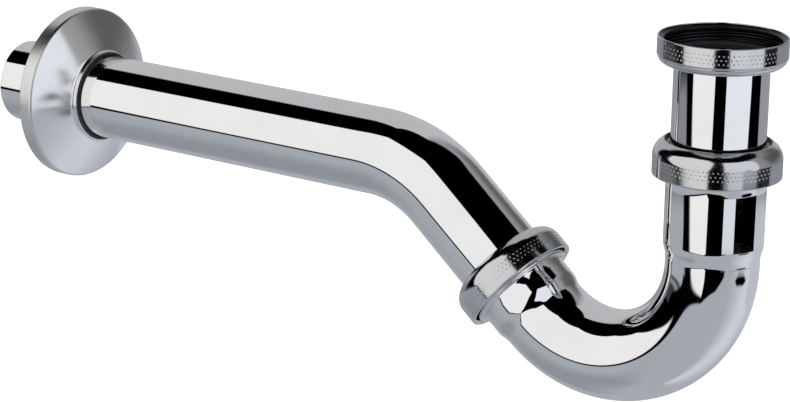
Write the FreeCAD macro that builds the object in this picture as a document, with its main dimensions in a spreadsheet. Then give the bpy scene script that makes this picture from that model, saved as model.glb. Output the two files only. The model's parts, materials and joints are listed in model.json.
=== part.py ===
import FreeCAD, Part
import math
import os
import re

import Sketcher

# Tubular wash-basin trap: a chromed brass J-bend between a height-adjustable inlet tube and a
# wall pipe. The origin is the centre of the inlet gasket's top face, where the basin
# waste seats. +Z runs up out of the inlet, and the wall lies towards -X. Sizes are millimetres.

SIZES = {
    # tube stock
    "tube_radius": 16.0,
    "tube_wall": 1.0,
    "socket_radius": 17.2,
    "socket_wall": 0.9,
    # G 1 1/4 union thread, shared by all three nuts
    "thread_crest": 19.476,
    "thread_root": 20.955,
    "thread_pitch": 2.309,
    "thread_rise": 0.25,
    "thread_flank": 0.45,
    "thread_valley": 0.80,
    "union_crest": 19.7,
    "nut_radius": 21.8,
    "nut_lead": 0.8,
    "edge_break": 0.4,
    "sharp_break": 0.3,
    # inlet nut and what it clamps
    "gasket_thick": 2.0,
    "gasket_radius": 19.1,
    "collar_thick": 1.0,
    "collar_radius": 19.0,
    "inlet_nut_above": 5.6,
    "inlet_lip_thick": 1.1,
    "inlet_nut_round": 3.0,
    "play": 0.1,
    "guide_gap": 0.35,
    # slip joint: union nut, slip ring, cone seal, thread ring
    "union_height": 12.0,
    "union_shoulder": 1.6,
    "union_hole": 17.65,
    "union_round": 3.6,
    "union_mouth_edge": 0.5,
    "slip_thick": 1.0,
    "seal_gap": 0.05,
    "seal_flange": 1.5,
    "seal_nose": 1.6,
    "seal_shoulder": 1.3,
    "socket_mouth": 4.5,
    "flare_radius": 19.0,
    "flare_depth": 2.2,
    "flare_edge": 0.6,
    "ring_top": 7.0,
    "ring_overhang": 1.0,
    "ring_radius": 19.1,
    # runs along the waterway
    "inlet_drop": 29.8,
    "inlet_insertion": 27.0,
    "arc_drop": 72.8,
    "neck_length": 5.0,
    "neck_to_arc": 4.3,
    "bend_radius": 40.5,
    "leg_rise": 40.0,
    "leg_to_nut": 12.4,
    "outlet_insertion": 16.0,
    "leg_run": 30.7,
    "pipe_bend_radius": 48.5,
    "pipe_run": 147.6,
    "spigot_length": 27.0,
    "mark_width": 0.8,
    "mark_depth": 0.25,
    # wall flange and its grip ring
    "flange_radius": 33.4,
    "flange_rim": 5.6,
    "flange_sheet": 1.0,
    "flange_depth": 15.0,
    "dome_base": 19.6,
    "dome_height": 7.4,
    "dome_swell": 0.7,
    "dome_hollow": 0.5,
    "rim_round": 1.2,
    "collar_fillet": 0.6,
    "flange_collar": 17.6,
    "grip_radius": 19.2,
    "grip_thick": 4.0,
    "grip_seat": 7.4,
}

doc = FreeCAD.newDocument("p_trap")
sheet = doc.addObject("Spreadsheet::Sheet", "Sizes")
for row, (alias, value) in enumerate(SIZES.items(), start=1):
    sheet.set(f"A{row}", alias)
    sheet.set(f"B{row}", str(value))
    sheet.setAlias(f"B{row}", alias)
doc.recompute()


def bound(text):
    """An expression over the sheet, written with bare aliases."""
    return re.sub(r"[a-z_]+[a-z]", lambda word: "Sizes." + word.group(0), text)


def new_body(label):
    """An empty body for one sub-part."""
    body = doc.addObject("PartDesign::Body", label)
    body.Label = label
    return body


def plane_sketch(body, name, role, offset):
    """A sketch on one of the body's own origin planes, moved within it by offset."""
    sketch = body.newObject("Sketcher::SketchObject", name)
    plane = [f for f in body.Origin.OriginFeatures if f.Role == role][0]
    sketch.AttachmentSupport = [(plane, "")]
    sketch.MapMode = "FlatFace"
    sketch.AttachmentOffset = offset
    return sketch


def place_point(sketch, geometry, end, across, along):
    """Bind one sketch point to its two distances from the sketch's origin."""
    for kind, text in (("DistanceX", across), ("DistanceY", along)):
        index = sketch.addConstraint(Sketcher.Constraint(kind, -1, 1, geometry, end, 1.0))
        sketch.setExpression(f"Constraints[{index}]", bound(text))


def turned(body, name, corners, offset=FreeCAD.Placement()):
    """A ring turned about the sketch's own vertical axis from (radius, height) corners."""
    sketch = plane_sketch(body, name + "_outline", "XZ_Plane", offset)
    count = len(corners)
    start = [FreeCAD.Vector(40 + 20 * math.cos(2 * math.pi * k / count),
                            20 * math.sin(2 * math.pi * k / count), 0) for k in range(count)]
    for k in range(count):
        sketch.addGeometry(Part.LineSegment(start[k], start[(k + 1) % count]))
    for k in range(count):
        sketch.addConstraint(Sketcher.Constraint("Coincident", k, 2, (k + 1) % count, 1))
    for k, (radius, height) in enumerate(corners):
        place_point(sketch, k, 1, radius, height)
    ring = body.newObject("PartDesign::Revolution", name)
    ring.Profile = sketch
    ring.ReferenceAxis = (sketch, ["V_Axis"])
    ring.Angle = 360.0
    sketch.Visibility = False
    return ring


def tube_arc(body, name, height, bend_radius, turn, outward, offset=FreeCAD.Placement()):
    """A bent length of tube: its annular section turned about a line one bend radius away."""
    lift = FreeCAD.Placement(FreeCAD.Vector(0, 0, height), FreeCAD.Rotation())
    sketch = plane_sketch(body, name + "_section", "XY_Plane", offset.multiply(lift))
    for radius in ("tube_radius", "tube_radius - tube_wall"):
        circle = sketch.addGeometry(Part.Circle(FreeCAD.Vector(0, 0, 0), FreeCAD.Vector(0, 0, 1), 10))
        sketch.addConstraint(Sketcher.Constraint("Coincident", circle, 3, -1, 1))
        index = sketch.addConstraint(Sketcher.Constraint("Radius", circle, 10.0))
        sketch.setExpression(f"Constraints[{index}]", bound(radius))
    axis = Part.LineSegment(FreeCAD.Vector(-30, -10, 0), FreeCAD.Vector(-30, 10, 0))
    line = sketch.addGeometry(axis, True)
    sketch.addConstraint(Sketcher.Constraint("Vertical", line))
    place_point(sketch, line, 1, "-" + bend_radius, "0 - tube_radius")
    index = sketch.addConstraint(Sketcher.Constraint("DistanceY", line, 1, line, 2, 20.0))
    sketch.setExpression(f"Constraints[{index}]", bound("tube_radius * 2"))
    bend = body.newObject("PartDesign::Revolution", name)
    bend.Profile = sketch
    bend.ReferenceAxis = (sketch, ["Axis0"])
    bend.Reversed = outward
    bend.setExpression("Angle", bound(turn))
    sketch.Visibility = False
    return bend


def round_edges(body, name, size, rims):
    """Round the circular edges found at the given (radius, height) places of the body's own frame."""
    doc.recompute()
    found = []
    for number, edge in enumerate(body.Shape.Edges, start=1):
        curve = edge.Curve
        if not isinstance(curve, Part.Circle):
            continue
        centre = body.Placement.inverse().multVec(curve.Center)
        if any(abs(curve.Radius - r) < 0.01 and abs(centre.z - h) < 0.01 for r, h in rims):
            found.append(f"Edge{number}")
    if len(found) < len(rims):
        raise ValueError(f"{body.Label}: {len(found)} of {len(rims)} edges found for {name}")
    base = body.Tip
    fillet = body.newObject("PartDesign::Fillet", name)
    fillet.Base = (base, found)
    fillet.setExpression("Radius", bound(size))
    body.Tip = fillet


def thread_corners(start, turns, crest):
    """Corners of annular thread grooves going up a nut's bore from the given height."""
    corners = []
    for k in range(turns):
        foot = f"{start} + thread_pitch * {k}"
        corners += [
            (crest, f"{foot} + thread_pitch * thread_rise"),
            ("thread_root", f"{foot} + thread_pitch * thread_flank"),
            ("thread_root", f"{foot} + thread_pitch * thread_valley"),
            (crest, f"{foot} + thread_pitch"),
        ]
    return corners


def tilted(across, height, degrees):
    """A sketch offset in the XZ plane: moved there, then turned from +Z towards -X."""
    turn = FreeCAD.Rotation(FreeCAD.Vector(0, 0, 1), degrees)
    return FreeCAD.Placement(FreeCAD.Vector(across, height, 0), turn)


def inlet_nut():
    """Union nut whose thread opens upwards for the basin waste, with a lip under the collar."""
    body = new_body("inlet_nut")
    lip = "0 - gasket_thick - collar_thick - play"
    foot = lip + " - inlet_lip_thick"
    outline = [
        ("tube_radius + guide_gap", foot),
        ("nut_radius", foot),
        ("nut_radius", "inlet_nut_above"),
        ("thread_root", "inlet_nut_above"),
        ("thread_crest", "inlet_nut_above - nut_lead"),
    ]
    outline += reversed(thread_corners("0", 2, "thread_crest"))
    outline += [
        ("thread_crest", "0"),
        ("thread_root", "0"),
        ("thread_root", lip),
        ("tube_radius + guide_gap", lip),
    ]
    turned(body, "nut", outline)
    size = SIZES
    under = -(size["gasket_thick"] + size["collar_thick"] + size["play"] + size["inlet_lip_thick"])
    round_edges(body, "shoulder", "inlet_nut_round", [(size["nut_radius"], under)])


def inlet_gasket():
    """Flat rubber ring between the tube's collar and the basin waste."""
    body = new_body("inlet_gasket")
    turned(body, "ring", [
        ("tube_radius - tube_wall", "0 - gasket_thick"),
        ("gasket_radius", "0 - gasket_thick"),
        ("gasket_radius", "0"),
        ("tube_radius - tube_wall", "0"),
    ])


def inlet_tube():
    """Straight tube with a turned-out collar at its top; its lower end slides in the bend."""
    body = new_body("inlet_tube")
    foot = "0 - inlet_drop - inlet_insertion"
    turned(body, "tube", [
        ("tube_radius - tube_wall", foot),
        ("tube_radius", foot),
        ("tube_radius", "0 - gasket_thick - collar_thick"),
        ("collar_radius", "0 - gasket_thick - collar_thick"),
        ("collar_radius", "0 - gasket_thick"),
        ("tube_radius - tube_wall", "0 - gasket_thick"),
    ])


def union_nut(label, place):
    """Union nut of a slip joint: shoulder up at height 0, thread opening downwards."""
    body = new_body(label)
    ceiling = "0 - union_shoulder"
    mouth = "0 - union_height"
    outline = [
        ("union_hole", "0"),
        ("nut_radius", "0"),
        ("nut_radius", mouth),
        ("thread_root", mouth),
        ("union_crest", mouth + " + nut_lead"),
    ]
    outline += thread_corners(mouth + " + nut_lead", 2, "union_crest")
    outline += [("union_crest", ceiling), ("union_hole", ceiling)]
    turned(body, "nut", outline)
    round_edges(body, "shoulder", "union_round", [(SIZES["nut_radius"], 0)])
    round_edges(body, "mouth_edge", "union_mouth_edge", [(SIZES["nut_radius"], -SIZES["union_height"])])
    body.Placement = place


def slip_ring(label, place):
    """Thin hard ring that lets the nut turn on the rubber seal without dragging it."""
    body = new_body(label)
    top = "0 - union_shoulder - play"
    turned(body, "ring", [
        ("tube_radius + guide_gap", top + " - slip_thick"),
        ("collar_radius", top + " - slip_thick"),
        ("collar_radius", top),
        ("tube_radius + guide_gap", top),
    ])
    body.Placement = place


def cone_seal(label, place):
    """Rubber seal: a flange under the slip ring and a cone that points into the flared mouth."""
    body = new_body(label)
    top = "0 - union_shoulder - play - slip_thick"
    turned(body, "seal", [
        ("tube_radius + seal_gap", top + " - seal_flange - seal_nose"),
        ("tube_radius + seal_gap + edge_break", top + " - seal_flange - seal_nose"),
        ("flare_radius - seal_shoulder", top + " - seal_flange"),
        ("collar_radius", top + " - seal_flange"),
        ("collar_radius", top),
        ("tube_radius + seal_gap", top),
    ])
    body.Placement = place


def thread_ring(label, place):
    """Loose threaded ring round the socket, held under its flare; the union nut screws onto it."""
    body = new_body(label)
    foot = "0 - union_height - ring_overhang"
    outline = [
        ("socket_radius + seal_gap", foot),
        ("ring_radius - edge_break", foot),
        ("ring_radius", foot + " + edge_break"),
        ("ring_radius", "0 - ring_top"),
        ("socket_radius + seal_gap", "0 - ring_top"),
    ]
    turned(body, "ring", outline)
    body.Placement = place


def socket_wall(neck_foot, mouth):
    """Outline of an expanded socket: bend tube, neck, socket and flared mouth, going up."""
    inner_gap = "socket_radius - socket_wall"
    return [
        ("tube_radius - tube_wall", neck_foot),
        ("tube_radius", neck_foot),
        ("tube_radius", f"{neck_foot} + sharp_break"),
        ("socket_radius", f"{neck_foot} + neck_length"),
        ("socket_radius", f"{mouth} - flare_depth"),
        ("flare_radius", f"{mouth} - flare_edge"),
        ("flare_radius", mouth),
        ("flare_radius - flare_edge", mouth),
        (inner_gap, f"{mouth} - flare_depth"),
        (inner_gap, f"{neck_foot} + neck_length + sharp_break"),
        ("tube_radius - tube_wall", f"{neck_foot} + sharp_break * 2"),
    ]


def plain_tube(foot, top):
    """Outline of a straight length of tube."""
    return [
        ("tube_radius - tube_wall", foot),
        ("tube_radius", foot),
        ("tube_radius", top),
        ("tube_radius - tube_wall", top),
    ]


def trap_bend():
    """The water-seal bend: inlet socket, long U-shaped turn, and a socket on the rising leg."""
    body = new_body("trap_bend")
    size = SIZES
    arc_top = -size["arc_drop"]
    neck_foot = "0 - arc_drop + neck_to_arc"
    turned(body, "inlet_socket", socket_wall(neck_foot, "0 - inlet_drop - socket_mouth"))
    turned(body, "inlet_leg", plain_tube("0 - arc_drop", neck_foot))
    tube_arc(body, "u_turn", arc_top, "bend_radius", "90 + leg_rise", False)
    turn = math.radians(90 + size["leg_rise"])
    leg_x = -size["bend_radius"] * (1 - math.cos(turn))
    leg_z = arc_top - size["bend_radius"] * math.sin(turn)
    leg = tilted(leg_x, leg_z, 90 - size["leg_rise"])
    turned(body, "outlet_socket", socket_wall("0", "leg_to_nut + union_height - socket_mouth"), leg)


def outlet_pipe(place):
    """Wall pipe: a short inclined run, one bend to level, and a long run with a plain spigot."""
    body = new_body("outlet_pipe")
    size = SIZES
    turned(body, "inclined_run", plain_tube("0 - outlet_insertion", "leg_run"))
    tube_arc(body, "level_turn", size["leg_run"], "pipe_bend_radius", "leg_rise", True)
    turn = math.radians(size["leg_rise"])
    run_x = -size["pipe_bend_radius"] * (1 - math.cos(turn))
    run_z = size["leg_run"] + size["pipe_bend_radius"] * math.sin(turn)
    turned(body, "level_run", [
        ("tube_radius - tube_wall", "0"),
        ("tube_radius", "0"),
        ("tube_radius", "pipe_run - mark_width"),
        ("tube_radius - mark_depth", "pipe_run - mark_width"),
        ("tube_radius - mark_depth", "pipe_run"),
        ("tube_radius", "pipe_run"),
        ("tube_radius", "pipe_run + spigot_length"),
        ("tube_radius - tube_wall", "pipe_run + spigot_length"),
    ], tilted(run_x, run_z, size["leg_rise"]))
    body.Placement = place


def wall_flange(place):
    """Drawn sheet cover for the hole in the wall: rim, dome and a collar round the pipe."""
    body = new_body("wall_flange")
    dome = "flange_rim + dome_height"
    half_out = "flange_radius * 0.5 + dome_base * 0.5"
    half_up = "flange_rim + dome_height * 0.5"
    turned(body, "shell", [
        ("flange_radius - flange_sheet", "0"),
        ("flange_radius", "0"),
        ("flange_radius", "flange_rim"),
        (half_out + " + dome_swell", half_up + " + dome_swell"),
        ("dome_base", dome),
        ("flange_collar", dome + " + collar_fillet"),
        ("flange_collar", "flange_depth"),
        ("tube_radius + guide_gap", "flange_depth"),
        ("tube_radius + guide_gap", dome),
        (half_out, half_up + " - dome_hollow"),
        ("flange_radius - flange_sheet", "flange_rim - flange_sheet"),
    ])
    round_edges(body, "rim_edge", "rim_round", [(SIZES["flange_radius"], SIZES["flange_rim"])])
    body.Placement = place


def flange_grip_ring(place):
    """Rubber ring inside the flange that grips the pipe and holds the flange to the wall."""
    body = new_body("flange_grip_ring")
    turned(body, "ring", [
        ("tube_radius + seal_gap", "grip_seat"),
        ("grip_radius", "grip_seat"),
        ("grip_radius", "grip_seat + grip_thick"),
        ("tube_radius + seal_gap", "grip_seat + grip_thick"),
    ])
    body.Placement = place


def slip_joint(prefix, place):
    """The four loose pieces of one slip joint."""
    union_nut(prefix + "_nut", place)
    slip_ring(prefix + "_slip_ring", place)
    cone_seal(prefix + "_cone_seal", place)
    thread_ring(prefix + "_thread_ring", place)


def joint_places(size):
    """Placements of the inlet joint, the outlet joint and the wall plane."""
    turn = math.radians(90 + size["leg_rise"])
    tilt = 90 - size["leg_rise"]
    x = -size["bend_radius"] * (1 - math.cos(turn))
    z = -size["arc_drop"] - size["bend_radius"] * math.sin(turn)
    rise = math.radians(size["leg_rise"])
    along = size["leg_to_nut"] + size["union_height"]
    x -= along * math.cos(rise)
    z += along * math.sin(rise)
    up = FreeCAD.Vector(0, 0, -size["inlet_drop"])
    inlet = FreeCAD.Placement(up, FreeCAD.Rotation())
    lean = FreeCAD.Rotation(FreeCAD.Vector(0, 1, 0), -tilt)
    outlet = FreeCAD.Placement(FreeCAD.Vector(x, 0, z), lean)
    x -= size["leg_run"] * math.cos(rise) + size["pipe_bend_radius"] * math.sin(rise) + size["pipe_run"]
    z += size["leg_run"] * math.sin(rise) + size["pipe_bend_radius"] * (1 - math.cos(rise))
    facing_room = FreeCAD.Rotation(FreeCAD.Vector(0, 1, 0), 90)
    wall = FreeCAD.Placement(FreeCAD.Vector(x, 0, z), facing_room)
    return inlet, outlet, wall


INLET, OUTLET, WALL = joint_places(SIZES)
inlet_gasket()
inlet_tube()
inlet_nut()
trap_bend()
slip_joint("bend_inlet", INLET)
slip_joint("bend_outlet", OUTLET)
outlet_pipe(OUTLET)
wall_flange(WALL)
flange_grip_ring(WALL)
doc.recompute()

for item in doc.Objects:
    if "Invalid" in item.State or "Error" in item.State:
        raise ValueError(f"{item.Label} did not compute: {item.State}")
bodies = [item for item in doc.Objects if item.TypeId == "PartDesign::Body"]
for body in bodies:
    if body.Shape.isNull() or not body.Shape.isValid() or len(body.Shape.Solids) != 1:
        raise ValueError(f"{body.Label} is not one valid solid")
os.makedirs("parts", exist_ok=True)
for body in bodies:
    body.Shape.exportStep(f"parts/{body.Label}.step")
    print(f"{body.Label}: {body.Shape.Volume / 1000:.2f} cm3")
for name, spot in (("outlet joint", OUTLET), ("wall plane", WALL)):
    print(name, [round(value, 3) for value in spot.Base])
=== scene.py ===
import json
import math

import bpy
import numpy as np
from mathutils import Matrix, Vector

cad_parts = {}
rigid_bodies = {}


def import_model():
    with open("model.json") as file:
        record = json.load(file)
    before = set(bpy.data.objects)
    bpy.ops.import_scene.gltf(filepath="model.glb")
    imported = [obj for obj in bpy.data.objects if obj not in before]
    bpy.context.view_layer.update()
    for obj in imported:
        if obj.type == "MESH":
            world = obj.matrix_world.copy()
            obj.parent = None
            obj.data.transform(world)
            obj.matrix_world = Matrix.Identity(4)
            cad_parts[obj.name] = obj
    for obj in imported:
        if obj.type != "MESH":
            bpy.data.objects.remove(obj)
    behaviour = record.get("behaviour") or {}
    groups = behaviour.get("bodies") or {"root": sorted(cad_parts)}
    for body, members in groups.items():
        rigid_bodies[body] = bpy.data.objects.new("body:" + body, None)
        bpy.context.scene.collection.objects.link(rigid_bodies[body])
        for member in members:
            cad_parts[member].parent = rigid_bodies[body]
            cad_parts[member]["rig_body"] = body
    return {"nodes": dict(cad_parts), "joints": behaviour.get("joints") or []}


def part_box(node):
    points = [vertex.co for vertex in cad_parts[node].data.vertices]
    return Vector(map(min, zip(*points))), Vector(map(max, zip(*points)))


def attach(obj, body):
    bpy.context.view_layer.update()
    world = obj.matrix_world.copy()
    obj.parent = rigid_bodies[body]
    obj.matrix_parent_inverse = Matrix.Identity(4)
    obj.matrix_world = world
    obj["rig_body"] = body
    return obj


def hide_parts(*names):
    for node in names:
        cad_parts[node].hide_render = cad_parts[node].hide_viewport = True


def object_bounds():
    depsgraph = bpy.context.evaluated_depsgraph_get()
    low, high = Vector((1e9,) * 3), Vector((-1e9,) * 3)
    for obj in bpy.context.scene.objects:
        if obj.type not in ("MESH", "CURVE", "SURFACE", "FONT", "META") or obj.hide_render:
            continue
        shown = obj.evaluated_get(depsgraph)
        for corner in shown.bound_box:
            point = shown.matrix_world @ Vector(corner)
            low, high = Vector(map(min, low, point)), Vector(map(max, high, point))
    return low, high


# Looks of a chromed tubular basin trap. Every piece is turned or swept about the centre line of its
# CAD node, which is measured on the frame. Sizes are in metres and angles in radians, and only the
# studio's bearings and heights are in degrees.

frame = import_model()
cad_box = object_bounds()

MM = 0.001

# Details finer than the frame gives.
TUBE_WALL = 1.0 * MM
SOCKET_WALL = 0.9 * MM
RING_GAP = 0.05 * MM
NECK_LENGTH = 3.1 * MM
NECK_EASE = NECK_LENGTH * 0.42
NECK_TO_ARC = 3.6 * MM
LEG_TO_NECK = 0.3 * MM
FLARE_DEPTH = 2.2 * MM
FLARE_EDGE = 0.4 * MM
FLARE_EASE = 0.8 * MM
SOCKET_WAIST = 0.22 * MM
WAIST_LENGTH = 1.7 * MM
WAIST_EASE = 1.2 * MM
PIPE_BEND_RADIUS = 48.5 * MM
MARK_WIDTH = 0.8 * MM
MARK_DEPTH = 0.2 * MM
THREAD_PITCH = 2.309 * MM
THREAD_DEPTH = 1.2 * MM
INLET_NUT_CREST = 19.6 * MM
UNION_NUT_CREST = 19.8 * MM
DOTS_AROUND = 84
DOT_RADIUS = 0.28 * MM
DOT_DEPTH = 0.095 * MM
DOT_ROW_GAP = 1.36 * MM

# How far the curve of an edge is set back from its corner.
FINE = 0.15 * MM
SLIGHT = 0.2 * MM
CRISP = 0.3 * MM
ROUNDED = 0.6 * MM

# Which finish of a piece a band has.
OUTSIDE, INSIDE = 0, 1

# Fineness of the meshes.
TURNED_SEGMENTS = 360
DOT_SEGMENTS = TURNED_SEGMENTS * 3
DOT_STEP = 0.13 * MM
THREAD_STEP = 0.2 * MM
ARC_STEP = math.radians(2)
BOW_STEPS = 24
CURVE_STEPS = 8

# The most of a side that its curves may take up, and how far past them a flat is held.
CURVED_SHARE = 0.96
FLAT_SUPPORT = 0.15
FLAT_SHARE = 0.4

# Keeps divisions and comparisons safe from rounding.
NEARLY_ZERO = 1e-6


# Centre lines -----------------------------------------------------------------------------------


def place_on(point, axis):
    """Placement whose Z runs along a joint's axis and whose Y is the frame's Y."""
    up = Vector(axis).normalized()
    side = Vector((0, 1, 0)).cross(up)
    turn = Matrix((side, Vector((0, 1, 0)), up)).transposed().to_4x4()
    return Matrix.Translation(Vector(point)) @ turn


def measure(node, place):
    """A CAD node's lowest and highest place along a placement's Z, and least and greatest radius."""
    turn = np.array(place.inverted())
    points = np.array([v.co for v in frame["nodes"][node].data.vertices])
    points = points @ turn[:3, :3].T + turn[:3, 3]
    radius = np.hypot(points[:, 0], points[:, 1])
    return points[:, 2].min(), points[:, 2].max(), radius.min(), radius.max()


def straight(along):
    """Centre line of a turned piece: its own Z axis, as (x, z) places and headings."""
    zero = np.zeros_like(along)
    return np.stack([zero, along], 1), np.stack([zero, zero + 1], 1)


def route(start, heading, runs):
    """Centre line in the trap's plane made of (length, turn) runs, each straight or an arc."""
    def follow(along):
        places, headings = np.zeros((len(along), 2)), np.zeros((len(along), 2))
        point, angle, done = np.array(start, float), heading, 0.0
        for number, (length, turn) in enumerate(runs):
            last = number == len(runs) - 1
            inside = (along >= done - NEARLY_ZERO * MM) & ((along <= done + length) | last)
            part = along - done
            if turn:
                radius = length / turn
                ahead = angle + part / radius
                offset = np.stack([np.sin(ahead) - math.sin(angle),
                                   math.cos(angle) - np.cos(ahead)], 1) * radius
            else:
                ahead = np.full_like(along, angle)
                offset = np.outer(part, [math.cos(angle), math.sin(angle)])
            places[inside] = (point + offset)[inside]
            headings[inside] = np.stack([np.cos(ahead), np.sin(ahead)], 1)[inside]
            if turn:
                end = angle + turn
                point = point + radius * np.array([math.sin(end) - math.sin(angle),
                                                   math.cos(angle) - math.cos(end)])
                angle = end
            else:
                point = point + length * np.array([math.cos(angle), math.sin(angle)])
            done += length
        return places, headings
    return follow


# Outlines ---------------------------------------------------------------------------------------


def eased(corners, steps=CURVE_STEPS):
    """Open outline through (along, radius, setback) corners.

    Each inner corner becomes a curve that leaves both its sides smoothly, one setback from the
    corner, or two where they differ. Setbacks that would meet share their side, and a point just
    past each end of a curve keeps the flats flat."""
    spots = [np.array(corner[:2]) for corner in corners]
    near = [corner[2] if len(corner) > 2 else 0.0 for corner in corners]
    far = [corner[-1] if len(corner) > 2 else 0.0 for corner in corners]
    sides = [np.linalg.norm(there - here) for here, there in zip(spots, spots[1:])]
    for k, side in enumerate(sides):
        share = min(1.0, side * CURVED_SHARE / max(far[k] + near[k + 1], side * NEARLY_ZERO))
        far[k], near[k + 1] = far[k] * share, near[k + 1] * share
    points = [spots[0]]
    for k in range(1, len(spots) - 1):
        back = (spots[k - 1] - spots[k]) / sides[k - 1]
        forth = (spots[k + 1] - spots[k]) / sides[k]
        spare_back = sides[k - 1] - far[k - 1] - near[k]
        spare_forth = sides[k] - far[k] - near[k + 1]
        hold_back = near[k] + min(near[k] * FLAT_SUPPORT, spare_back * FLAT_SHARE)
        hold_forth = far[k] + min(far[k] * FLAT_SUPPORT, spare_forth * FLAT_SHARE)
        points.append(spots[k] + back * hold_back)
        for turn in np.linspace(0, math.pi / 2, steps + 1):
            points.append(spots[k] + back * near[k] * (1 - math.sin(turn))
                          + forth * far[k] * (1 - math.cos(turn)))
        points.append(spots[k] + forth * hold_forth)
    points.append(spots[-1])
    return np.array(points)


def bowed(start, end, bulge):
    """Points of a circular arc from start to end that stands a bulge off the line between them."""
    start, end = np.array(start), np.array(end)
    run = end - start
    length = np.linalg.norm(run)
    off = np.array([-run[1], run[0]]) / length
    radius = length ** 2 / (8 * bulge) + bulge / 2
    half = math.asin(length / 2 / radius)
    centre = (start + end) / 2 - off * (radius - bulge)
    turns = np.linspace(-half, half, BOW_STEPS + 1)
    return centre + radius * (np.outer(np.sin(turns), run / length) + np.outer(np.cos(turns), off))


def ring_outline(low, high, inner, outer, edge):
    """Closed outline of a plain ring with eased edges: up the outside and down the inside."""
    middle = (low + high) / 2
    return eased([(middle, outer), (high, outer, edge), (high, inner, edge),
                  (low, inner, edge), (low, outer, edge), (middle, outer)])[:-1]


def divided(outline, spans):
    """The outline with points added along its bends, given as (from, to, step) spans."""
    points = []
    for here, there in zip(outline, np.roll(outline, -1, axis=0)):
        cuts = {0.0}
        run = there[0] - here[0]
        for low, high, step in spans:
            for stop in np.arange(low, high + step / 2, step):
                share = (stop - here[0]) / run if abs(run) > step / 4 else -1
                if NEARLY_ZERO < share < 1 - NEARLY_ZERO:
                    cuts.add(float(share))
        points += [here + (there - here) * share for share in sorted(cuts)]
    return np.array(points)


# Meshes -----------------------------------------------------------------------------------------


def bridge(faces, lower, lower_count, upper, upper_count):
    """Faces between two rings of vertices, where one may have a whole number of times more."""
    count = min(lower_count, upper_count)
    down, up = lower_count // count, upper_count // count
    for k in range(count):
        bottom = [lower + (k * down + j) % lower_count for j in range(down + 1)]
        top = [upper + (k * up + j) % upper_count for j in range(up + 1)]
        faces.append(bottom + top[::-1])


def loft(name, bands, centre_line=straight):
    """A closed solid from bands of an outline that runs up the outside and down the inside.

    A band is its outline points, its number of segments, a relief (a function of place and angle
    that gives the radius added there, or None), and the number of its finish."""
    vertices, faces, rings, finishes = [], [], [], []
    for outline, segments, relief, finish in bands:
        angle = np.arange(segments) * 2 * math.pi / segments
        places, headings = centre_line(outline[:, 0])
        for (along, radius), place, heading in zip(outline, places, headings):
            reach = np.full(segments, radius)
            if relief:
                reach = reach + relief(along, angle)
            across = reach * np.cos(angle)
            rings.append((len(vertices), segments))
            finishes.append(finish)
            vertices.extend(np.stack([place[0] + across * heading[1], reach * np.sin(angle),
                                      place[1] - across * heading[0]], 1).tolist())
    face_finishes = []
    for lower, upper, finish in zip(rings, rings[1:] + rings[:1], finishes):
        bridge(faces, *lower, *upper)
        face_finishes += [finish] * (len(faces) - len(face_finishes))
    mesh = bpy.data.meshes.new(name)
    mesh.from_pydata(vertices, [], faces)
    mesh.polygons.foreach_set("material_index", face_finishes)
    mesh.shade_smooth()
    piece = bpy.data.objects.new(name, mesh)
    bpy.context.scene.collection.objects.link(piece)
    return piece


def turned(name, outline, centre_line=straight):
    """A closed solid with one plain outline."""
    return loft(name, [(outline, TURNED_SEGMENTS, None, OUTSIDE)], centre_line)


def finish_piece(piece, node, materials, place=None):
    """Put a piece where its CAD node is, give it its finishes and let it ride the node's body."""
    if place is not None:
        piece.matrix_world = place
    for material in materials:
        piece.data.materials.append(material)
    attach(piece, frame["nodes"][node]["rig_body"])
    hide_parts(node)


# Relief on the nuts -----------------------------------------------------------------------------


def dotted(rows):
    """Relief of staggered rows of small round dents at the given places."""
    def relief(along, angle):
        pitch = 2 * math.pi / DOTS_AROUND
        depth = np.zeros_like(angle)
        for number, row in enumerate(rows):
            offset = (angle / pitch + number / 2 + 0.5) % 1 - 0.5
            distance = np.hypot(offset * pitch * nut_radius, along - row) / DOT_RADIUS
            depth += np.where(distance < 1, (1 + np.cos(math.pi * np.minimum(distance, 1))) / 2, 0)
        return -DOT_DEPTH * depth
    return relief


def threaded(low, high):
    """Relief of a rounded helical groove that fades out at both ends."""
    def relief(along, angle):
        phase = (along / THREAD_PITCH + angle / (2 * math.pi)) % 1
        wave = np.clip(0.5 - 0.9 * np.cos(2 * math.pi * phase), 0, 1)
        fade = min(1, max(0, min(along - low, high - along) / (THREAD_PITCH / 2)))
        return THREAD_DEPTH * wave * wave * (3 - 2 * wave) * fade
    return relief


def grip_band(low, high, middle):
    """Outer band of a nut with three rows of dents about its middle row, going up."""
    rows = [middle - DOT_ROW_GAP, middle, middle + DOT_ROW_GAP]
    count = round((high - low) / DOT_STEP)
    along = np.linspace(low, high, count + 1)
    outline = np.stack([along, np.full_like(along, nut_radius)], 1)
    return outline, DOT_SEGMENTS, dotted(rows), OUTSIDE


def thread_band(high, low, crest):
    """Bore of a nut with its thread, going down."""
    count = round((high - low) / THREAD_STEP)
    along = np.linspace(high, low, count + 1)
    outline = np.stack([along, np.full_like(along, crest)], 1)
    return outline, TURNED_SEGMENTS, threaded(low, high), INSIDE


def plain_band(outline, finish):
    """Band of a nut or a cover without relief."""
    return outline, TURNED_SEGMENTS, None, finish


# Materials --------------------------------------------------------------------------------------

# The middle of a noise texture's range, where nearly all its values lie.
NOISE_LOW, NOISE_HIGH = 0.3, 0.7

# Waves of noise in a metre.
CLOUDS, SMEARS, RIPPLES, GRAIN, TURNING = 45, 110, 38, 1400, 900


def new_material(name):
    """A material with its Principled shader, and the piece's own coordinates."""
    material = bpy.data.materials.new(name)
    material.use_nodes = True
    nodes = material.node_tree.nodes
    return material, nodes["Principled BSDF"], nodes.new("ShaderNodeTexCoord").outputs["Object"]


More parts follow.
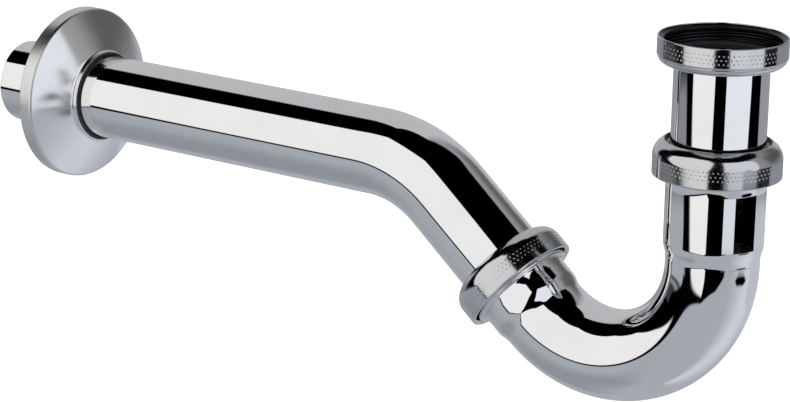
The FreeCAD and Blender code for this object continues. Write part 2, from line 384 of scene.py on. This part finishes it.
def noise(material, coordinates, scale, detail=2.0, stretch=(1, 1, 1)):
    """Noise at so many waves a metre, stretched along the piece's own axes."""
    tree = material.node_tree
    mapping = tree.nodes.new("ShaderNodeMapping")
    mapping.inputs["Scale"].default_value = stretch
    tree.links.new(coordinates, mapping.inputs["Vector"])
    texture = tree.nodes.new("ShaderNodeTexNoise")
    texture.inputs["Scale"].default_value = scale
    texture.inputs["Detail"].default_value = detail
    tree.links.new(mapping.outputs["Vector"], texture.inputs["Vector"])
    return texture.outputs["Fac"]


def ramp(material, value, low, high, low_colour, high_colour):
    """A value turned into a colour between two, over its range from low to high."""
    node = material.node_tree.nodes.new("ShaderNodeValToRGB")
    ends = node.color_ramp.elements
    ends[0].position, ends[1].position = low, high
    ends[0].color, ends[1].color = (*low_colour, 1), (*high_colour, 1)
    material.node_tree.links.new(value, node.inputs["Fac"])
    return node.outputs["Color"]


def spread(material, value, low, high):
    """A noise value moved to the range from low to high."""
    node = material.node_tree.nodes.new("ShaderNodeMapRange")
    node.inputs["From Min"].default_value = NOISE_LOW
    node.inputs["From Max"].default_value = NOISE_HIGH
    node.inputs["To Min"].default_value = low
    node.inputs["To Max"].default_value = high
    material.node_tree.links.new(value, node.inputs["Value"])
    return node.outputs["Result"]


def bump(material, height, depth, below=None):
    """Bump of a height over a real depth in metres, on top of another bump."""
    node = material.node_tree.nodes.new("ShaderNodeBump")
    node.inputs["Distance"].default_value = depth
    material.node_tree.links.new(height, node.inputs["Height"])
    if below is not None:
        material.node_tree.links.new(below, node.inputs["Normal"])
    return node.outputs["Normal"]


def chrome(name, dull, bright, smooth, cloudy, ripple, grain, marks=None):
    """Polished chrome plate: a mirror with faint clouding, a slow ripple and a fine grain.

    smooth and cloudy are the least and greatest roughness, and ripple and grain are depths. marks, if
    given, is the depth of the turning marks round the piece's own axis."""
    material, shader, place = new_material(name)
    links = material.node_tree.links
    shader.inputs["Metallic"].default_value = 1.0
    clouds = noise(material, place, CLOUDS, 4)
    links.new(ramp(material, clouds, NOISE_LOW, NOISE_HIGH, dull, bright), shader.inputs["Base Color"])
    rough = spread(material, noise(material, place, SMEARS, 5), smooth, cloudy)
    links.new(rough, shader.inputs["Roughness"])
    normal = bump(material, noise(material, place, RIPPLES, 1), ripple)
    normal = bump(material, noise(material, place, GRAIN, 3), grain, normal)
    if marks:
        lines = noise(material, place, TURNING, 2, (0.02, 0.02, 1))
        normal = bump(material, lines, marks, normal)
    links.new(normal, shader.inputs["Normal"])
    return material


def rubber():
    """Black EPDM: matt, with a grey bloom and a fine moulded grain."""
    material, shader, place = new_material("black_rubber")
    links = material.node_tree.links
    colour = ramp(material, noise(material, place, 160, 6), 0.35, 0.75,
                  (0.010, 0.010, 0.011), (0.030, 0.030, 0.032))
    links.new(colour, shader.inputs["Base Color"])
    links.new(spread(material, noise(material, place, 420, 3), 0.48, 0.68), shader.inputs["Roughness"])
    links.new(bump(material, noise(material, place, 2600, 4), 0.03 * MM), shader.inputs["Normal"])
    return material


def slip_plastic():
    """White polyethylene: waxy, with soft clouding and faint flow marks."""
    material, shader, place = new_material("white_polyethylene")
    links = material.node_tree.links
    colour = ramp(material, noise(material, place, 140, 4), NOISE_LOW, NOISE_HIGH,
                  (0.66, 0.66, 0.63), (0.76, 0.76, 0.74))
    links.new(colour, shader.inputs["Base Color"])
    links.new(spread(material, noise(material, place, 300, 3), 0.30, 0.45), shader.inputs["Roughness"])
    links.new(bump(material, noise(material, place, 900, 3), 0.02 * MM), shader.inputs["Normal"])
    shader.inputs["Subsurface Weight"].default_value = 0.15
    shader.inputs["Subsurface Radius"].default_value = (MM, MM, 0.8 * MM)
    return material


TUBE_CHROME = chrome("tube_chrome_plate", (0.86, 0.865, 0.875), (0.90, 0.903, 0.91),
                     smooth=0.012, cloudy=0.035, ripple=0.006 * MM, grain=0.00006 * MM)
NUT_CHROME = chrome("nut_chrome_plate", (0.62, 0.625, 0.64), (0.70, 0.705, 0.72),
                    smooth=0.09, cloudy=0.14, ripple=0.010 * MM, grain=0.0002 * MM)
# Near-black chrome for the nuts' bores, throats and inner top edges: painted shade in the recess, far
# darker than any chrome plate.
BORE_PAINTED_SHADE = chrome("bore_chrome_painted_shade", (0.025, 0.027, 0.032), (0.045, 0.048, 0.055),
                     smooth=0.26, cloudy=0.36, ripple=0.010 * MM, grain=0.0005 * MM)
FLANGE_CHROME = chrome("flange_chrome_plate", (0.84, 0.845, 0.855), (0.88, 0.883, 0.89),
                       smooth=0.13, cloudy=0.18, ripple=0.012 * MM, grain=0.0001 * MM)
SATIN_CHROME = chrome("flange_rim_satin", (0.78, 0.78, 0.77), (0.84, 0.84, 0.83),
                      smooth=0.26, cloudy=0.34, ripple=0.010 * MM, grain=0.0003 * MM)
RING_CHROME = chrome("ring_chrome_flash", (0.76, 0.76, 0.77), (0.84, 0.84, 0.845),
                     smooth=0.06, cloudy=0.14, ripple=0.010 * MM, grain=0.0003 * MM, marks=0.002 * MM)
RUBBER = rubber()
SLIP_PLASTIC = slip_plastic()


# Places from the frame --------------------------------------------------------------------------

# Each placement has its Z on the axis of a tube: up the inlet, up the outlet's inclined leg, from the
# wall towards the trap, and up the waste from the frame's origin.
joints = {joint["name"]: joint for joint in frame["joints"]}
inlet_joint = place_on(joints["trap_swivel"]["pos_m"], joints["trap_swivel"]["axis"])
outlet_joint = place_on(joints["outlet_swivel"]["pos_m"], joints["outlet_swivel"]["axis"])
wall = place_on(joints["flange_spin"]["pos_m"], [-part for part in joints["flange_spin"]["axis"]])
waste = place_on((0, 0, 0), (0, 0, 1))

tube_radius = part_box("outlet_pipe")[1].y
nut_radius = measure("inlet_nut", waste)[3]
socket_radius = measure("bend_inlet_thread_ring", inlet_joint)[2] - RING_GAP


# Pieces -----------------------------------------------------------------------------------------


def inlet_nut():
    """Union nut at the top: dotted band, rounded foot and a thread open to the basin waste."""
    low, high, hole, outer = measure("inlet_nut", waste)
    body = outer - 0.5 * MM
    crest, root = INLET_NUT_CREST, INLET_NUT_CREST + THREAD_DEPTH
    lip_top = low + 1.1 * MM
    thread_low, thread_high = 0.2 * MM, high - 1.1 * MM
    thread_start = thread_high - 0.1 * MM
    dots_at = low + 6.1 * MM
    grip_low, grip_high = low + 3.6 * MM, high - 0.7 * MM
    bevel = (high - 0.3 * MM, body - 0.1 * MM)
    foot = eased([(lip_top, hole), (low, hole, CRISP), (low, body, 4.6 * MM, 2.9 * MM),
                  (low + 3.0 * MM, body, CRISP), (low + 3.2 * MM, outer, CRISP), (grip_low, outer)],
                 steps=16)
    rim = eased([(grip_high, outer), (high, outer, 0.35 * MM), (high, body, FINE), bevel])
    throat = eased([bevel, (thread_high, crest + 0.1 * MM, SLIGHT), (thread_start, crest)])
    inside = eased([(thread_low - 0.1 * MM, crest), (thread_low - 0.4 * MM, root, SLIGHT),
                    (lip_top, root, 0.5 * MM), (lip_top, hole + 0.2 * MM)])
    bands = [plain_band(foot[:-1], OUTSIDE), grip_band(grip_low, grip_high, dots_at),
             plain_band(rim[1:-1], OUTSIDE), plain_band(throat[:-1], INSIDE),
             thread_band(thread_start, thread_low, crest), plain_band(inside, INSIDE)]
    piece = loft("inlet_union_nut", bands)
    # The throat, thread and inside get the near-black bore chrome, which is painted shade.
    finish_piece(piece, "inlet_nut", [NUT_CHROME, BORE_PAINTED_SHADE], waste)


def union_nut(prefix, place):
    """Union nut of a slip joint: thread opening down, dotted band, broad round shoulder on top."""
    node = prefix + "_nut"
    low, high, hole, outer = measure(node, place)
    crest = UNION_NUT_CREST
    ceiling = high - 1.6 * MM
    thread_low, thread_high = low + 0.7 * MM, low + 6.4 * MM
    dots_at = low + 4.7 * MM
    grip_low, grip_high = low + 1.5 * MM, high - 5.4 * MM
    throat_edge = (high, hole + 0.4 * MM)
    mouth = eased([(thread_low, crest), (low, crest + 1.0 * MM, 0.25 * MM), (low, outer, 0.5 * MM),
                   (grip_low, outer)])
    shoulder = eased([(grip_high, outer), (high - 2.8 * MM, outer, 2.6 * MM),
                      (high, outer - 3.4 * MM, 2.0 * MM), throat_edge], steps=14)
    throat = eased([throat_edge, (high, hole, 0.25 * MM), (ceiling, hole, 0.25 * MM),
                    (ceiling, crest, CRISP), (thread_high + 0.1 * MM, crest)])
    bands = [plain_band(mouth[:-1], OUTSIDE), grip_band(grip_low, grip_high, dots_at),
             plain_band(shoulder[1:-1], OUTSIDE), plain_band(throat, INSIDE),
             thread_band(thread_high, thread_low + 0.1 * MM, crest)]
    piece = loft(prefix + "_union_nut", bands)
    # The throat and thread get the near-black bore chrome, which is painted shade.
    finish_piece(piece, node, [NUT_CHROME, BORE_PAINTED_SHADE], place)


def plain_ring(name, node, place, material, edge):
    """A ring the size of its node with eased edges."""
    low, high, inner, outer = measure(node, place)
    outline = ring_outline(low, high, inner, outer, edge)
    finish_piece(turned(name, outline), node, [material], place)


def cone_seal(prefix, place):
    """Rubber seal: a flange and a cone with two wiping lips in its bore."""
    node = prefix + "_cone_seal"
    low, high, inner, outer = measure(node, place)
    step = low + 1.6 * MM
    groove = inner + 0.3 * MM
    lips = [(low + (high - low) * share, radius, SLIGHT)
            for share, radius in ((0.88, inner), (0.7, groove), (0.5, inner), (0.3, groove), (0.15, inner))]
    start = (step + 0.5 * MM, outer)
    outline = eased([start, (high, outer, 0.35 * MM), (high, inner, CRISP), *lips,
                     (low, inner + 0.1 * MM, 0.1 * MM), (low, inner + 0.5 * MM, FINE),
                     (step, outer - 1.4 * MM, 0.25 * MM), (step, outer, CRISP), start], steps=4)[:-1]
    finish_piece(turned(prefix + "_rubber_seal", outline), node, [RUBBER], place)


def thread_ring(prefix, place):
    """Loose chromed brass ring inside the nut, with a turned edge and two shallow grooves."""
    node = prefix + "_thread_ring"
    low, high, inner, outer = measure(node, place)
    groove = 0.25 * MM
    bevel = 0.5 * MM
    start = (low + 1.1 * MM, outer)
    corners = [start]
    for share in (0.45, 0.7):
        middle = low + (high - low) * share
        corners += [(middle - 2 * groove, outer, groove), (middle - groove, outer - groove, groove / 2),
                    (middle + groove, outer - groove, groove / 2), (middle + 2 * groove, outer, groove)]
    corners += [(high, outer, CRISP), (high, inner, SLIGHT), (low, inner, 0.25 * MM),
                (low, outer - bevel, FINE), (low + bevel, outer, CRISP), start]
    outline = eased(corners, steps=5)[:-1]
    finish_piece(turned(prefix + "_brass_ring", outline), node, [RING_CHROME], place)


def inlet_tube():
    """Straight tube with a rolled collar at its top."""
    low, high, inner, outer = measure("inlet_tube", waste)
    collar = high - 1.0 * MM
    start = (low + 2.0 * MM, tube_radius)
    outline = eased([start, (collar, tube_radius, ROUNDED), (collar, outer, 0.4 * MM),
                     (high, outer, 0.4 * MM), (high, inner, 0.7 * MM),
                     (low, inner, CRISP), (low, tube_radius, CRISP), start])[:-1]
    finish_piece(turned("inlet_down_tube", outline), "inlet_tube", [TUBE_CHROME], waste)


def trap_bend():
    """The water-seal bend: a socket going down, a long tight turn, and a socket on the rising leg."""
    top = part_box("trap_bend")[1].z
    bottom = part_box("trap_bend")[0].z
    rise = math.asin(joints["outlet_swivel"]["axis"][2])
    across, up = math.sin(rise), math.cos(rise)
    joint_at = joints["outlet_swivel"]["pos_m"]
    joint_offset = across * joint_at[0] + up * joint_at[2]
    # The arc starts on the inlet's axis, ends on the outlet's, and is as low as the CAD node.
    radius = (up * (bottom + tube_radius) - joint_offset) / (1 - up + across)
    arc_top = bottom + tube_radius + radius
    turn = math.pi / 2 + rise
    arc_end = Vector((-radius * (1 - math.cos(turn)), 0, arc_top - radius * math.sin(turn)))
    leg_foot = (outlet_joint.inverted() @ arc_end).z
    leg_mouth = measure("trap_bend", outlet_joint)[1]
    drop, arc, leg = top - arc_top, radius * turn, leg_mouth - leg_foot
    total = drop + arc + leg
    neck_in = drop - NECK_TO_ARC
    neck_out = drop + arc + LEG_TO_NECK
    thick = tube_radius - TUBE_WALL
    socket = socket_radius
    waist = socket - SOCKET_WAIST
    bore = waist - SOCKET_WALL
    flare = measure("bend_inlet_cone_seal", inlet_joint)[3]
    flare_outer, flare_inner = flare - FLARE_EDGE, flare - 2 * FLARE_EDGE
    bare = top - measure("bend_inlet_thread_ring", waste)[0]
    going_down = [(0.0, flare_outer, SLIGHT), (FLARE_EDGE, flare, SLIGHT),
                  (FLARE_DEPTH, socket, FLARE_EASE), (bare, socket, ROUNDED),
                  (bare + WAIST_LENGTH, waist, WAIST_EASE),
                  (neck_in - NECK_LENGTH, waist, NECK_EASE), (neck_in, tube_radius, NECK_EASE)]
    going_up = [(neck_out, tube_radius, NECK_EASE), (neck_out + NECK_LENGTH, waist, NECK_EASE),
                (total - bare - WAIST_LENGTH, waist, WAIST_EASE), (total - bare, socket, ROUNDED),
                (total - FLARE_DEPTH, socket, FLARE_EASE), (total - FLARE_EDGE, flare, SLIGHT)]
    inside = [(total, flare_outer, SLIGHT), (total, flare_inner, SLIGHT),
              (total - FLARE_DEPTH, bore, FLARE_EASE), (neck_out + NECK_LENGTH, bore, NECK_EASE),
              (neck_out, thick, NECK_EASE), (neck_in, thick, NECK_EASE),
              (neck_in - NECK_LENGTH, bore, NECK_EASE), (FLARE_DEPTH, bore, FLARE_EASE),
              (0.0, flare_inner, SLIGHT)]
    middle = (drop + arc / 2, tube_radius)
    outline = eased([middle, *going_up, *inside, *going_down, middle])[:-1]
    spans = [(drop, drop + arc, radius * ARC_STEP)]
    line = route((0, top), -math.pi / 2, [(drop, 0), (arc, -turn), (leg, 0)])
    piece = turned("water_seal_bend", divided(outline, spans), line)
    finish_piece(piece, "trap_bend", [TUBE_CHROME])


def outlet_pipe():
    """Wall pipe: an inclined run, one bend to level, a long run, and a spigot behind the flange."""
    foot = measure("outlet_pipe", outlet_joint)[0]
    axis = Vector(joints["outlet_swivel"]["axis"])
    start = outlet_joint @ Vector((0, 0, foot))
    rise = math.asin(axis.z)
    level = wall.translation.z
    tangent = PIPE_BEND_RADIUS * math.tan(rise / 2)
    inclined = (level - start.z) / math.sin(rise) - tangent
    arc = PIPE_BEND_RADIUS * rise
    corner_x = start.x + axis.x * (inclined + tangent)
    end_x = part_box("outlet_pipe")[0].x
    run = corner_x - tangent - end_x
    total = inclined + arc + run
    mark = total - (wall.translation.x - end_x)
    inner = tube_radius - TUBE_WALL
    middle = (inclined + arc + run / 2, tube_radius)
    floor = tube_radius - MARK_DEPTH
    outline = eased([middle, (mark - MARK_WIDTH, tube_radius, FINE), (mark - MARK_WIDTH * 0.8, floor, FINE),
                     (mark - MARK_WIDTH * 0.2, floor, FINE), (mark, tube_radius, FINE),
                     (total, tube_radius, CRISP), (total, inner, CRISP),
                     (0.0, inner, CRISP), (0.0, tube_radius, CRISP), middle])[:-1]
    spans = [(inclined, inclined + arc, PIPE_BEND_RADIUS * ARC_STEP)]
    line = route((start.x, start.z), math.pi - rise, [(inclined, 0), (arc, rise), (run, 0)])
    piece = turned("wall_pipe", divided(outline, spans), line)
    finish_piece(piece, "outlet_pipe", [TUBE_CHROME])


def wall_flange():
    """Drawn cover: a satin rim, a swelling cone, and a short collar turned up round the pipe."""
    low, high, hole, outer = measure("wall_flange", wall)
    sheet = 1.0 * MM
    bulge = 0.35 * MM
    rim = low + 5.6 * MM
    neck = low + 13.0 * MM
    collar = hole + 1.25 * MM
    lip = collar - 0.45 * MM
    start = (low + 2.5 * MM, outer)
    cone_foot = (rim + 0.6 * MM, outer - 0.8 * MM)
    cone_top = (neck, collar + 1.0 * MM)
    edge = eased([start, (rim, outer, 0.7 * MM), cone_foot])
    cone = bowed(cone_foot, cone_top, bulge)
    throat = eased([cone_top, (neck + 0.5 * MM, collar, 0.8 * MM, ROUNDED),
                    (high, collar, SLIGHT), (high, lip, FINE), (neck - 0.7 * MM, lip, CRISP),
                    (neck - 1.1 * MM, lip + 0.5 * MM)], steps=12)
    back = bowed((neck - 1.2 * MM, lip + 1.2 * MM), (rim - sheet * 0.2, outer - sheet * 2), -bulge)
    foot = eased([(rim - sheet * 0.6, outer - sheet * 1.6), (rim - sheet * 1.6, outer - sheet, 0.8 * MM),
                  (low, outer - sheet, CRISP), (low, outer, 0.35 * MM), start])
    bands = [plain_band(edge[:-1], INSIDE), plain_band(cone[:-1], OUTSIDE), plain_band(throat, OUTSIDE),
             plain_band(back, OUTSIDE), plain_band(foot[:-1], INSIDE)]
    piece = loft("wall_rosette", bands)
    finish_piece(piece, "wall_flange", [FLANGE_CHROME, SATIN_CHROME], wall)


def grip_ring():
    """Rubber ring in the flange with a thin lip that fills the collar round the pipe."""
    low, high, inner, outer = measure("flange_grip_ring", wall)
    flange_top, flange_hole = measure("wall_flange", wall)[1:3]
    mouth = flange_top + 0.4 * MM
    lip = flange_hole + 0.75 * MM
    start = (low + 1.5 * MM, outer)
    outline = eased([start, (high, outer, ROUNDED), (high, lip, 0.4 * MM),
                     (mouth, lip, SLIGHT), (mouth, inner, CRISP), (low, inner, ROUNDED),
                     (low, outer, ROUNDED), start])[:-1]
    piece = turned("flange_rubber_grip", outline)
    finish_piece(piece, "flange_grip_ring", [RUBBER], wall)


inlet_nut()
inlet_tube()
trap_bend()
outlet_pipe()
wall_flange()
grip_ring()
for prefix, place in (("bend_inlet", inlet_joint), ("bend_outlet", outlet_joint)):
    union_nut(prefix, place)
    cone_seal(prefix, place)
    thread_ring(prefix, place)
    plain_ring(prefix + "_glide_ring", prefix + "_slip_ring", place, SLIP_PLASTIC,
               SLIGHT)
plain_ring("inlet_rubber_washer", "inlet_gasket", waste, RUBBER, 0.4 * MM)


# Studio -----------------------------------------------------------------------------------------

CAMERA_AZIMUTH = math.radians(35.8)
CAMERA_ELEVATION = math.radians(15.76)
CAMERA_ROLL = math.radians(0.98)
CAMERA_DISTANCE = 994.3 * MM
CAMERA_RIGHT = 11.2 * MM
CAMERA_UP = -14.8 * MM
CAMERA_LENS = 123.7
CAMERA_SENSOR = 36.0

# How far the slide trap_height lets the bend down.
BEND_DROP = 15 * MM

middle_of_trap = (cad_box[0] + cad_box[1]) / 2


def make_camera():
    """Long lens from the front right, a little above the trap, without shift."""
    a, e = CAMERA_AZIMUTH, CAMERA_ELEVATION
    back = Vector((math.sin(a) * math.cos(e), -math.cos(a) * math.cos(e), math.sin(e)))
    right = Vector((0, 0, 1)).cross(back).normalized()
    up = back.cross(right)
    right, up = (right * math.cos(CAMERA_ROLL) + up * math.sin(CAMERA_ROLL),
                 up * math.cos(CAMERA_ROLL) - right * math.sin(CAMERA_ROLL))
    camera = bpy.data.objects.new("camera", bpy.data.cameras.new("camera"))
    turn = Matrix((right, up, back)).transposed().to_4x4()
    spot = middle_of_trap + right * CAMERA_RIGHT + up * CAMERA_UP + back * CAMERA_DISTANCE
    camera.matrix_world = Matrix.Translation(spot) @ turn
    camera.data.lens = CAMERA_LENS
    camera.data.sensor_width = CAMERA_SENSOR
    camera.data.clip_start = 0.01
    camera.data.clip_end = 50.0
    bpy.context.scene.collection.objects.link(camera)
    bpy.context.scene.camera = camera


class Studio:
    """World shader of soft-edged panels of light, placed by bearing and elevation round the object.

    A bearing of 0 is towards the front right, where the camera stands, and grows to its right."""

    def __init__(self):
        world = bpy.data.worlds.new("studio")
        world.use_nodes = True
        bpy.context.scene.world = world
        self.tree = world.node_tree
        self.tree.nodes.clear()
        direction = self.node("ShaderNodeTexCoord").outputs["Generated"]
        front = (math.sin(CAMERA_AZIMUTH), -math.cos(CAMERA_AZIMUTH), 0)
        right = (math.cos(CAMERA_AZIMUTH), math.sin(CAMERA_AZIMUTH), 0)
        turn = self.math("ARCTAN2", self.along(direction, right), self.along(direction, front))
        self.bearing = self.math("MULTIPLY", turn, math.degrees(1))
        rise = self.math("ARCSINE", self.along(direction, (0, 0, 1)))
        self.height = self.math("MULTIPLY", rise, math.degrees(1))
        base = self.node("ShaderNodeRGB")
        base.outputs[0].default_value = (0, 0, 0, 1)
        self.light = base.outputs[0]

    def node(self, kind):
        return self.tree.nodes.new(kind)

    def math(self, operation, *values):
        """A Math node on sockets or numbers."""
        node = self.node("ShaderNodeMath")
        node.operation = operation
        for socket, value in zip(node.inputs, values):
            if isinstance(value, (int, float)):
                socket.default_value = value
            else:
                self.tree.links.new(value, socket)
        return node.outputs[0]

    def along(self, direction, axis):
        """How far the view direction reaches along an axis."""
        node = self.node("ShaderNodeVectorMath")
        node.operation = "DOT_PRODUCT"
        self.tree.links.new(direction, node.inputs[0])
        node.inputs[1].default_value = axis
        return node.outputs["Value"]

    def panel(self, corners, colour, soft=1.5):
        """Cover a convex patch with a colour.

        Its (bearing, height) corners go anticlockwise, and its edges fade over a width of soft."""
        inside = None
        for here, there in zip(corners, corners[1:] + corners[:1]):
            run, rise = there[0] - here[0], there[1] - here[1]
            length = math.hypot(run, rise)
            across = self.math("MULTIPLY", self.bearing, -rise / length)
            above = self.math("MULTIPLY_ADD", self.height, run / length, across)
            edge = (here[1] * run - here[0] * rise) / length
            part = self.node("ShaderNodeMapRange")
            part.interpolation_type = "SMOOTHSTEP"
            self.tree.links.new(above, part.inputs["Value"])
            part.inputs["From Min"].default_value = edge - soft / 2
            part.inputs["From Max"].default_value = edge + soft / 2
            part = part.outputs["Result"]
            inside = part if inside is None else self.math("MULTIPLY", inside, part)
        mix = self.node("ShaderNodeMix")
        mix.data_type = "RGBA"
        self.tree.links.new(inside, mix.inputs["Factor"])
        self.tree.links.new(self.light, mix.inputs["A"])
        mix.inputs["B"].default_value = (*colour, 1)
        self.light = mix.outputs["Result"]

    def band(self, left, right, bottom, top, colour, soft=1.5):
        """Cover everything between two bearings and two heights."""
        self.panel([(left, bottom), (right, bottom), (right, top), (left, top)], colour, soft)

    def finish(self, backdrop):
        """Show a plain backdrop to the camera and the panels to everything else."""
        seen = self.node("ShaderNodeBackground")
        seen.inputs["Color"].default_value = (*backdrop, 1)
        lit = self.node("ShaderNodeBackground")
        self.tree.links.new(self.light, lit.inputs["Color"])
        mix = self.node("ShaderNodeMixShader")
        self.tree.links.new(self.node("ShaderNodeLightPath").outputs["Is Camera Ray"], mix.inputs["Fac"])
        self.tree.links.new(lit.outputs[0], mix.inputs[1])
        self.tree.links.new(seen.outputs[0], mix.inputs[2])
        self.tree.links.new(mix.outputs[0], self.node("ShaderNodeOutputWorld").inputs["Surface"])


def grey(level, warm=0.0):
    """Linear colour of a display grey from 0 to 255, warmer or cooler by a share."""
    value = (level / 255) ** 2.2
    return value * (1 + warm / 2), value, value * (1 - warm)


def light_studio():
    """Two big softboxes in front, dark gaps between them, pale walls behind and a grey floor."""
    studio = Studio()
    black = grey(3)
    wall_beside, wall_behind = grey(152, -0.07), grey(190, -0.02)
    # Bearings past the back of the room, and heights past straight down and straight up: a panel that
    # goes this far has no edge there.
    back_left, back_right, under, over = -200, 200, -120, 120

    # The floor, lighter to the right and darker to the left.
    studio.band(back_left, back_right, under, over, grey(175, -0.09))
    studio.band(62, 128, -150, 60, grey(214, -0.09), 60)
    studio.band(-150, -60, -66, -38, grey(151, -0.08), 24)

    # Black above the floor, and the floor reaching higher at the sides.
    studio.band(back_left, back_right, -16.9, over, black, 0.4)
    studio.band(back_left, -80, -30, -15.3, grey(172, -0.08), 1.2)
    studio.band(98, back_right, -30, -15.2, grey(196, -0.09), 1.2)

    # Walls to the left, and two strips between them and the left softbox.
    studio.band(back_left, -123, -15.8, 4, grey(150, -0.04), 3)
    studio.band(-121, -80, -13.2, -8, grey(64, -0.06), 1)
    studio.band(-121, -80, -14.6, -13.1, grey(138, -0.06), 0.8)
    studio.band(back_left, -139, -4, over, wall_behind, 5)

    # Walls to the right.
    studio.band(101, back_right, -15.2, 10, wall_beside, 1.5)
    studio.panel([(101, -5), (back_right, -5), (back_right, over), (196, over), (125, 49), (108, 28),
                  (101, 10)], wall_beside, 10)
    studio.band(70, 135, -9, 50, grey(158), 4)
    studio.band(96, 150, 0, 40, grey(96), 28)
    studio.panel([(150, -10), (back_right, -10), (back_right, over), (166, over), (150, 80)],
                 wall_behind, 14)

    # The dark ceiling, and the gap between the softboxes, down to the floor.
    studio.band(back_left, back_right, 72.5, over, black, 1.5)
    studio.panel([(-104, -11.5), (-72, -17.8), (-25, -26), (5, -24), (24, -17.3), (24, -6), (-104, -6)],
                 black, 0.8)

    # The left softbox.
    studio.panel([(-76, -13.6), (-27, -23.4), (-21, -13), (-16, 20), (-14, 44), (-30, 57), (-76, 57),
                  (-91, 43), (-104, 33), (-104, 12), (-90, -3)], grey(246, 0.012), 1.2)

    # The right softbox: its dark stand, a light strip at its foot, the box, a lamp head and a foot.
    studio.panel([(13, -16.9), (84, -16.9), (98, -16.2), (102, -11), (6, -11)], black, 0.4)
    studio.band(13, 40, -16.8, -14, grey(226, -0.08), 0.6)
    studio.panel([(6, -14.9), (66, -14.9), (70, -13), (72, 40), (62, 47), (5, 47)], grey(240, -0.05), 0.8)
    studio.panel([(40, -9.5), (58, -9.5), (54, -6), (49, -3.5), (44, -6)], grey(40, -0.1), 4)
    studio.panel([(58, -22.5), (78, -22.5), (86, -19.8), (78, -17.6), (58, -17.6), (52, -19.8)],
                 black, 2.4)
    studio.finish(grey(254))


def make_floor():
    """Plain pale floor under the bend's lowest setting, large enough to pass for the backdrop."""
    half_width = 6.0
    clearance = 1.0 * MM
    height = cad_box[0].z - BEND_DROP - clearance
    mesh = bpy.data.meshes.new("floor")
    corners = [(-half_width, -half_width), (half_width, -half_width),
               (half_width, half_width), (-half_width, half_width)]
    mesh.from_pydata([(x, y, height) for x, y in corners], [], [(0, 1, 2, 3)])
    floor = bpy.data.objects.new("floor", mesh)
    bpy.context.scene.collection.objects.link(floor)
    floor.visible_glossy = False
    material, shader, place = new_material("pale_floor")
    stains = noise(material, place, 3, 2)
    colour = ramp(material, stains, NOISE_LOW, NOISE_HIGH, (0.90, 0.90, 0.90), (0.92, 0.92, 0.92))
    material.node_tree.links.new(colour, shader.inputs["Base Color"])
    shader.inputs["Roughness"].default_value = 0.9
    shader.inputs["Emission Color"].default_value = (1, 1, 1, 1)
    shader.inputs["Emission Strength"].default_value = 0.85
    mesh.materials.append(material)


def make_light():
    """One large soft lamp overhead for the matt pieces and the floor."""
    size, height, watts = 1.6, 1.6, 6.0
    lamp = bpy.data.objects.new("overhead_softbox", bpy.data.lights.new("overhead_softbox", "AREA"))
    lamp.data.shape = "SQUARE"
    lamp.data.size = size
    lamp.data.energy = watts
    lamp.location = middle_of_trap + Vector((0, 0, height))
    lamp.visible_glossy = False
    bpy.context.scene.collection.objects.link(lamp)


make_camera()
light_studio()
make_floor()
make_light()
bpy.context.scene.view_settings.view_transform = "Standard"
